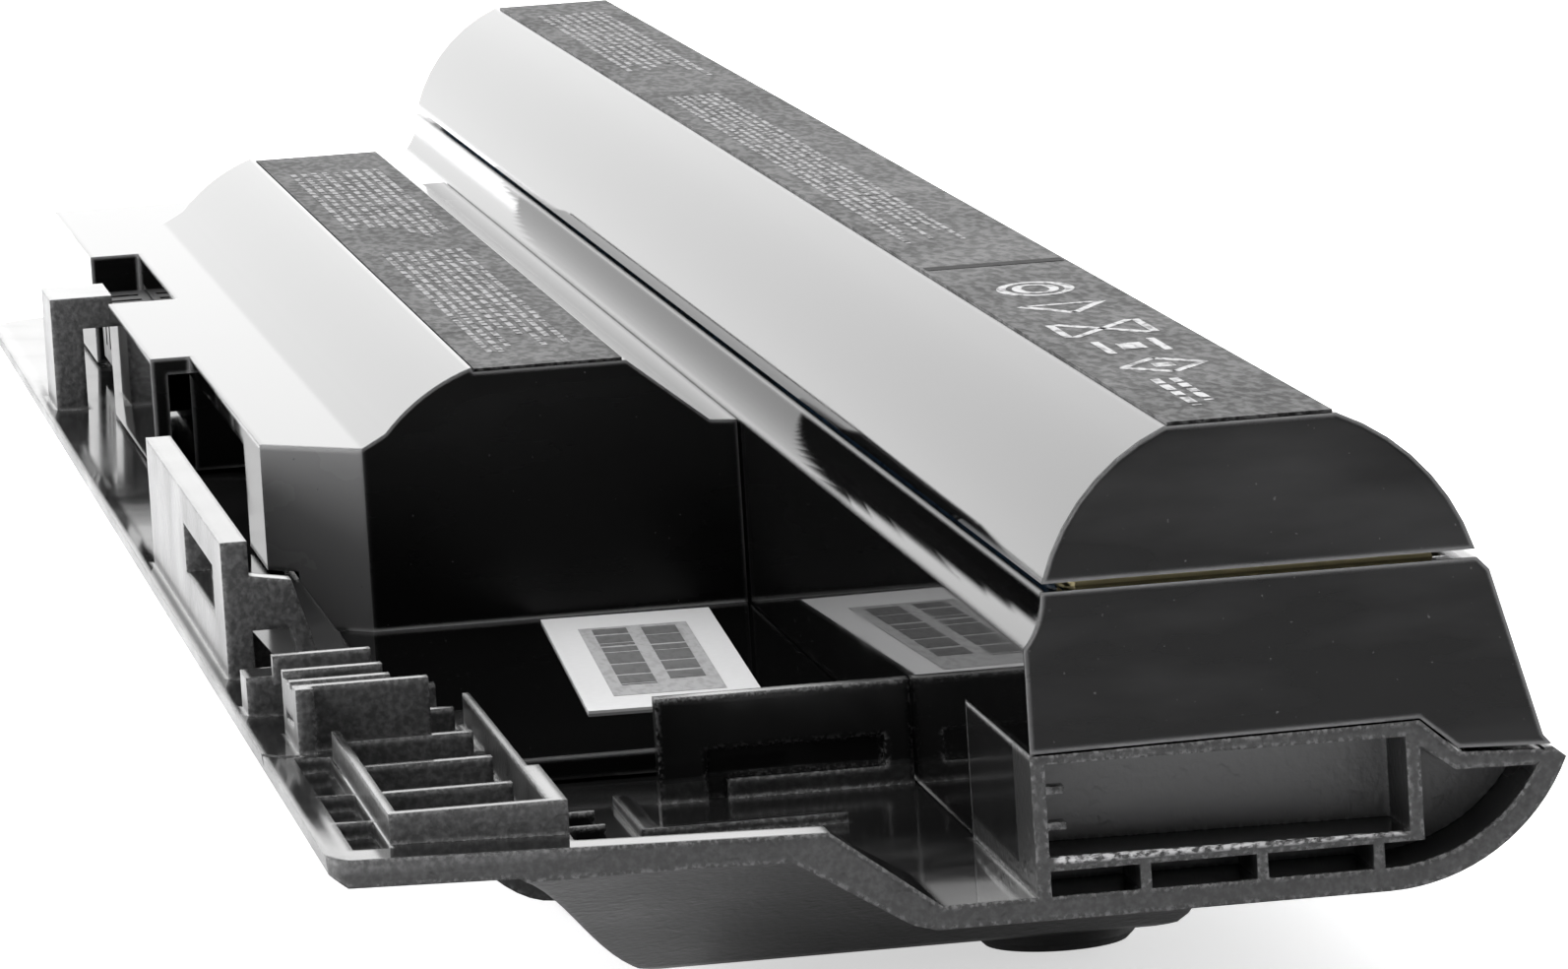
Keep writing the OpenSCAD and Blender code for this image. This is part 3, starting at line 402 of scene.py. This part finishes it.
def dress():
    """Gives every CAD node its material."""
    finishes = {
        "base_plastic": textured_plastic(),
        "gloss_plastic": gloss_plastic(),
        "label_film": label_film(),
        "sticker_paper": sticker_paper(),
        "foot_rubber": rubber(),
        "cell_wrap": plain("cell_wrap", (0.04, 0.15, 0.30), 0.3, size_mm=3),
        "nickel": plain("nickel", (0.62, 0.58, 0.50), 0.35, metallic=1.0, size_mm=0.8),
        "fibre_paper": plain("fibre_paper", (0.60, 0.51, 0.27), 0.8, size_mm=0.6, depth_mm=0.02),
        "board_laminate": plain("board_laminate", (0.01, 0.09, 0.03), 0.4),
        "chip_resin": plain("chip_resin", (0.01, 0.01, 0.01), 0.5, size_mm=0.3),
        "connector_plastic": plain("connector_plastic", (0.012, 0.012, 0.013), 0.35, size_mm=0.8),
        "contact_metal": plain("contact_metal", (0.75, 0.48, 0.12), 0.25, metallic=1.0),
        "fuse_metal": plain("fuse_metal", (0.50, 0.50, 0.48), 0.35, metallic=1.0),
        "red_wire": plain("red_wire", (0.40, 0.02, 0.015), 0.4),
        "black_wire": plain("black_wire", (0.015, 0.015, 0.017), 0.4),
    }
    for part in frame["record"]["subparts"]:
        mesh = NODES[part["node"]].data
        mesh.materials.clear()
        mesh.materials.append(finishes[part["material_slot"]])


# Print: plain bars and simple shapes in mm, a hair above the films

def box_mm(node):
    """Lowest and highest corners of a CAD node, in mm."""
    low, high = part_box(node)
    return low / MM, high / MM


class Sheet:
    """Collects flat outlines on one plane, in mm, and makes them one thin mesh."""

    def __init__(self, z):
        self.z = z
        self.verts = []
        self.faces = []

    def outline(self, points):
        """Adds a closed outline as a thin prism."""
        n = len(points)
        base = len(self.verts)
        self.verts += [(x, y, self.z) for x, y in points]
        self.verts += [(x, y, self.z + INK_T) for x, y in points]
        self.faces.append([base + i for i in reversed(range(n))])
        self.faces.append([base + n + i for i in range(n)])
        for i in range(n):
            j = (i + 1) % n
            self.faces.append([base + i, base + j, base + n + j, base + n + i])

    def bar(self, x0, x1, y0, y1):
        self.outline([(x0, y0), (x1, y0), (x1, y1), (x0, y1)])

    def stroke(self, a, b):
        """Straight line from a to b."""
        a, b = Vector(a), Vector(b)
        run = (b - a).normalized()
        side = Vector((-run.y, run.x)) * LINE_W / 2
        self.outline([a - side, b - side, b + side, a + side])

    def loop(self, corners):
        """Closed line through the corners."""
        for a, b in zip(corners, corners[1:] + corners[:1]):
            self.stroke(a, b)

    def ring(self, cx, cy, rx, ry, steps=36):
        """Line around an ellipse, as short pieces."""
        for i in range(steps):
            a0 = math.radians(360 * i / steps)
            a1 = math.radians(360 * (i + 1) / steps)
            outer = [(cx + rx * math.cos(a), cy + ry * math.sin(a)) for a in (a0, a1)]
            inner = [(cx + (rx - LINE_W) * math.cos(a), cy + (ry - LINE_W) * math.sin(a)) for a in (a1, a0)]
            self.outline(outer + inner)

    def turn(self, angle, corner):
        """Turns all outlines around the origin and moves them to a corner."""
        cos, sin = math.cos(angle), math.sin(angle)
        self.verts = [(corner.x + x * cos - y * sin, corner.y + x * sin + y * cos, z)
                      for x, y, z in self.verts]

    def make(self, name, mat):
        mesh = bpy.data.meshes.new(name)
        mesh.from_pydata([Vector(v) * MM for v in self.verts], [], self.faces)
        mesh.validate()
        mesh.materials.append(mat)
        piece = bpy.data.objects.new(name, mesh)
        bpy.context.scene.collection.objects.link(piece)
        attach(piece, "root")


def print_rows(sheet, x0, x1, y0, y1, rows, rng, fill=0.5, longest=2.6):
    """Rows of short bars of random length, running along X, with ragged ends."""
    indent, ragged_share, shortest, gap = 1.0, 0.25, 0.7, (0.35, 0.8)
    pitch = (y1 - y0) / rows
    for r in range(rows):
        y = y0 + pitch * (r + 0.5)
        half = pitch * fill / 2
        x = x0 + rng.uniform(0, indent)
        end = x1 - rng.uniform(0, ragged_share) * (x1 - x0)
        while x < end:
            word = rng.uniform(shortest, longest)
            sheet.bar(x, min(x + word, end), y - half, y + half)
            x += word + rng.uniform(*gap)


def plain_marks(sheet, mid):
    """Five plain marks in a row along the middle line of a label."""
    ring_x = 76
    sheet.ring(ring_x, mid, 3.4, 2.0)
    sheet.ring(ring_x, mid, 2.2, 1.2)

    triangle_x, triangle_half = 86, 2.1
    sheet.loop([(triangle_x + triangle_half, mid), (triangle_x - triangle_half, mid + triangle_half),
                (triangle_x - triangle_half, mid - triangle_half)])

    cross_x0, cross_x1, cross_half, cross_bar_y = 93, 99, 1.9, 2.2
    block_x0, block_x1, block_bar_y, bar_half = 101.6, 107, 1.4, 0.2
    for side in (-1, 1):
        sheet.stroke((cross_x0, mid - side * cross_half), (cross_x1, mid + side * cross_half))
        y = mid + side * cross_bar_y
        sheet.bar(cross_x0, cross_x1, y - bar_half, y + bar_half)
        y = mid + side * block_bar_y
        sheet.bar(block_x0, block_x1, y - bar_half, y + bar_half)
    block_inset, block_half = 1.4, 0.6
    sheet.bar(block_x0 + block_inset, block_x1 - block_inset, mid - block_half, mid + block_half)

    diamond_x, diamond_len, diamond_w = 113, 3, 2
    sheet.loop([(diamond_x - diamond_len, mid), (diamond_x, mid + diamond_w),
                (diamond_x + diamond_len, mid), (diamond_x, mid - diamond_w)])
    dot_len, dot_w = 0.8, 0.5
    sheet.bar(diamond_x - dot_len, diamond_x + dot_len, mid - dot_w, mid + dot_w)


def rear_print():
    """Rows like small print, a crosswise seam, then five plain marks and two short rows of bars."""
    low, high = box_mm("rear_label")
    rng = random.Random(11)
    rows = Sheet(high.z + INK_LIFT)
    far_block = (low.x + 10, low.x + 70, low.y + 1.4, high.y - 1.4)
    near_block = (low.x + 82, SEAM_X - 4, low.y + 1.2, high.y - 3.0)
    print_rows(rows, *far_block, 8, rng)
    print_rows(rows, *near_block, 7, rng)
    rows.make("rear_print", print_ink("pale_ink", 0.27))

    marks = Sheet(high.z + INK_LIFT)
    plain_marks(marks, (low.y + high.y) / 2)
    beside_marks = (118, 131, low.y + 2.0, low.y + 3.8)
    print_rows(marks, *beside_marks, 2, rng)
    marks.make("label_marks", print_ink("white_ink", 0.42))

    seam = Sheet(high.z + INK_LIFT)
    seam.bar(SEAM_X, SEAM_X + SEAM_W, low.y + 0.2, high.y - 0.2)
    seam.make("label_seam", print_ink("dark_ink", 0.012))


def front_print():
    """Rows like small print along the front label."""
    low, high = box_mm("front_label")
    rng = random.Random(5)
    rows = Sheet(high.z + INK_LIFT)
    far_block = (low.x + 12, low.x + 62, low.y + 1.0, high.y - 1.0)
    near_block = (low.x + 68, high.x - 5, low.y + 1.4, high.y - 1.6)
    print_rows(rows, *far_block, 9, rng)
    print_rows(rows, *near_block, 8, rng)
    rows.make("front_print", print_ink("front_ink", 0.27))


def sticker_print():
    """Grey field with darker blocks on the white sticker, turned with it."""
    low, high = box_mm("bay_sticker")
    corner = Vector((low.x, high.y - STICKER_W * math.cos(STICKER_TURN)))
    field_box = (5, 30.5, 1.7, 7.7)
    blocks_box = (5.6, 30.4, 2.0, 7.4)
    field = Sheet(high.z + INK_LIFT)
    field.bar(*field_box)
    field.turn(STICKER_TURN, corner)
    field.make("sticker_field", print_ink("sticker_field_ink", 0.30, 0.8))
    blocks = Sheet(high.z + BLOCK_LIFT)
    print_rows(blocks, *blocks_box, 2, random.Random(3), fill=0.7, longest=4.0)
    blocks.turn(STICKER_TURN, corner)
    blocks.make("sticker_blocks", print_ink("sticker_blocks_ink", 0.10, 0.8))


# Studio

def floor():
    """Pale floor: white to the camera, brighter in reflections towards the far end, with a soft shadow."""
    corners = [(-FLOOR_HALF, -FLOOR_HALF, 0), (FLOOR_HALF, -FLOOR_HALF, 0),
               (FLOOR_HALF, FLOOR_HALF, 0), (-FLOOR_HALF, FLOOR_HALF, 0)]
    mesh = bpy.data.meshes.new("floor")
    mesh.from_pydata(corners, [], [(0, 1, 2, 3)])
    obj = bpy.data.objects.new("floor", mesh)
    bpy.context.scene.collection.objects.link(obj)
    mat, tree, shader = material("pale_floor")
    coords = object_coords(tree)
    tint = mix_colours(tree, noise(tree, coords, size_mm=400), grey(0.86), grey(0.88))
    tree.links.new(tint, shader.inputs["Base Color"])
    shader.inputs["Roughness"].default_value = 0.8
    shader.inputs["Specular IOR Level"].default_value = 0.2
    path = tree.nodes.new("ShaderNodeLightPath")
    seen = product(tree, path.outputs["Is Camera Ray"], FLOOR_GLOW)
    past_border = beyond(tree, coords, "X", FLOOR_BORDER_X)
    mirrored = product(tree, path.outputs["Is Glossy Ray"], past_border, FLOOR_MIRRORED)
    shader.inputs["Emission Color"].default_value = (1, 1, 1, 1)
    tree.links.new(maths(tree, "ADD", seen, mirrored), shader.inputs["Emission Strength"])
    mesh.materials.append(mat)


def world():
    """Soft surround: white to the camera, bright beyond the far end, dim behind the camera, and an arch."""
    w = bpy.data.worlds.new("studio")
    bpy.context.scene.world = w
    w.use_nodes = True
    tree = w.node_tree
    back = tree.nodes["Background"]
    heading = along(tree, tree.nodes.new("ShaderNodeTexCoord").outputs["Generated"], "X")
    slope = spread(tree, heading, *SKY_SLOPE_X, SKY_FAR, SKY_NEAR)
    far_end = spread(tree, heading, *SKY_END_X, 0.0, SKY_END)
    arch_start, arch_end = SKY_ARCH_X
    arch = product(tree, spread(tree, heading, *arch_start), spread(tree, heading, *arch_end), SKY_ARCH)
    level = maths(tree, "ADD", maths(tree, "ADD", slope, far_end), arch)
    path = tree.nodes.new("ShaderNodeLightPath")
    tree.links.new(mix_values(tree, path.outputs["Is Camera Ray"], level, 1.0), back.inputs["Strength"])
    back.inputs["Color"].default_value = (1, 1, 1, 1)


def softbox(name, place, target, width, height, watts):
    """A rectangular soft light at place that faces target."""
    light = bpy.data.lights.new(name, "AREA")
    light.shape = "RECTANGLE"
    light.size = width
    light.size_y = height
    light.energy = watts
    obj = bpy.data.objects.new(name, light)
    obj.location = place
    obj.rotation_euler = (Vector(target) - Vector(place)).to_track_quat("-Z", "Y").to_euler()
    bpy.context.scene.collection.objects.link(obj)


def camera():
    """Camera at the photograph's viewpoint, turned by the fitted angles."""
    az, el, roll = (math.radians(a) for a in (CAM_AZIMUTH, CAM_ELEVATION, CAM_ROLL))
    forward = Vector((-math.cos(az) * math.cos(el), math.sin(az) * math.cos(el), -math.sin(el)))
    right = forward.cross(Vector((0, 0, 1))).normalized()
    down = forward.cross(right)
    x_axis = right * math.cos(roll) + down * math.sin(roll)
    y_axis = right * math.sin(roll) - down * math.cos(roll)
    data = bpy.data.cameras.new("camera")
    data.sensor_width = SENSOR
    data.lens = SENSOR * FOCAL_PX / PHOTO_W
    data.clip_start = 0.01
    data.clip_end = 50
    obj = bpy.data.objects.new("camera", data)
    pose = Matrix((x_axis, y_axis, -forward)).transposed().to_4x4()
    pose.translation = CAM_PLACE
    obj.matrix_world = pose
    bpy.context.scene.collection.objects.link(obj)
    bpy.context.scene.camera = obj


camera()
dress()
rear_print()
front_print()
sticker_print()
floor()
world()
softbox("side_softbox", place=(-0.1, -1.2, 0.36), target=(0, 0, 0.02), width=1.8, height=0.7, watts=20)
bpy.context.scene.view_settings.view_transform = "Standard"
